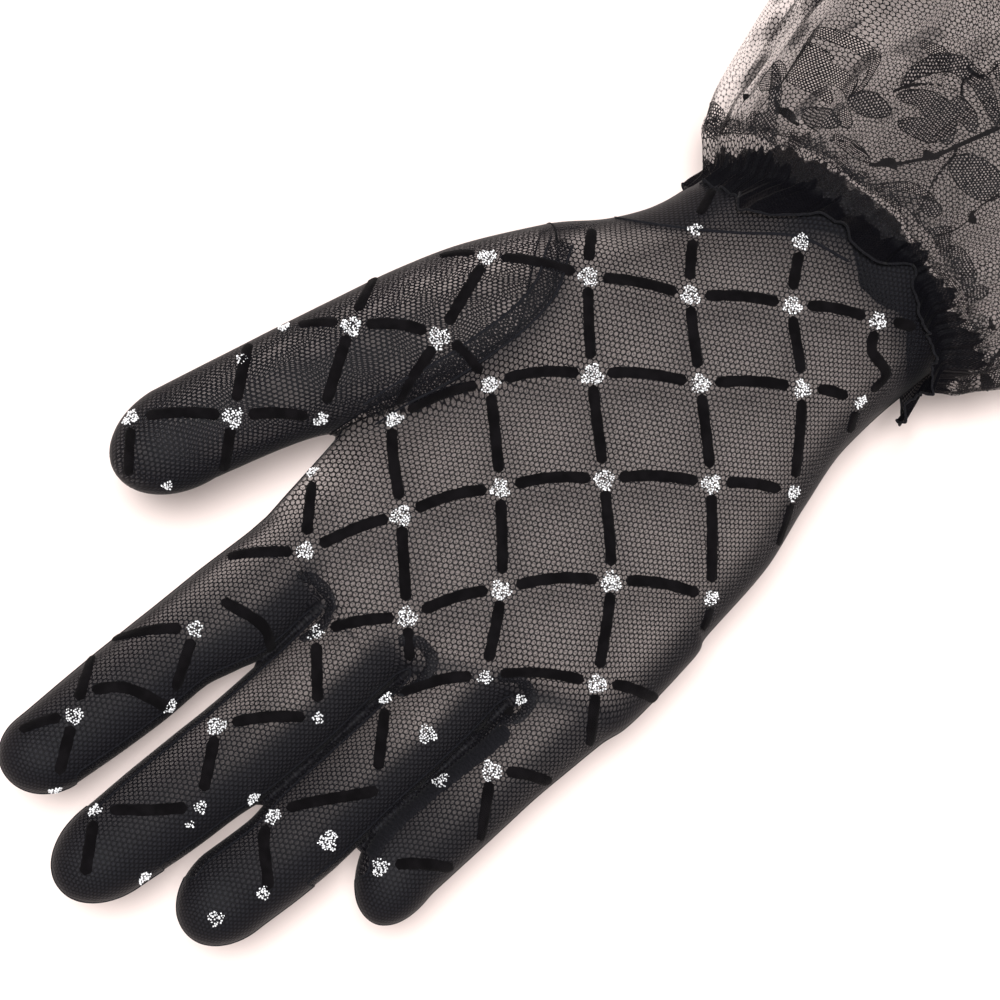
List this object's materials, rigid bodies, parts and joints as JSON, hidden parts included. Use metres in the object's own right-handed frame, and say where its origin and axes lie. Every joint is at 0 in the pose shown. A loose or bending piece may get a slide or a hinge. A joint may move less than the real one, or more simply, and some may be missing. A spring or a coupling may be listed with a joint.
{
  "type": "lace glove",
  "caption": "Sheer mesh dress glove with a flocked diamond lattice and glitter dots, fourchettes, set-in thumb, gathered wrist frill and flared lace cuff, in worn form.",
  "frame": {"origin": "middle of the wrist, where the hand goes in, on the middle surface between palm and back", "axes": "+Y from the wrist to the fingertips, +X towards the thumb's side, +Z out of the palm"},
  "size_m": [0.1166, 0.269, 0.0783],
  "materials": {
    "mesh_cloth": "sheer black stretch mesh with flocked bars and silver glitter dots",
    "frill_cloth": "dense matte black ribbed ruffle",
    "lace_cloth": "black net lace with floral motifs"
  },
  "bodies": {
    "root": {"palm_panel": "mesh_cloth", "back_panel": "mesh_cloth", "fourchette_index_middle": "mesh_cloth", "fourchette_middle_ring": "mesh_cloth", "fourchette_ring_little": "mesh_cloth", "thumb": "mesh_cloth", "wrist_frill": "frill_cloth", "lace_cuff": "lace_cloth"}
  },
  "joints": []
}
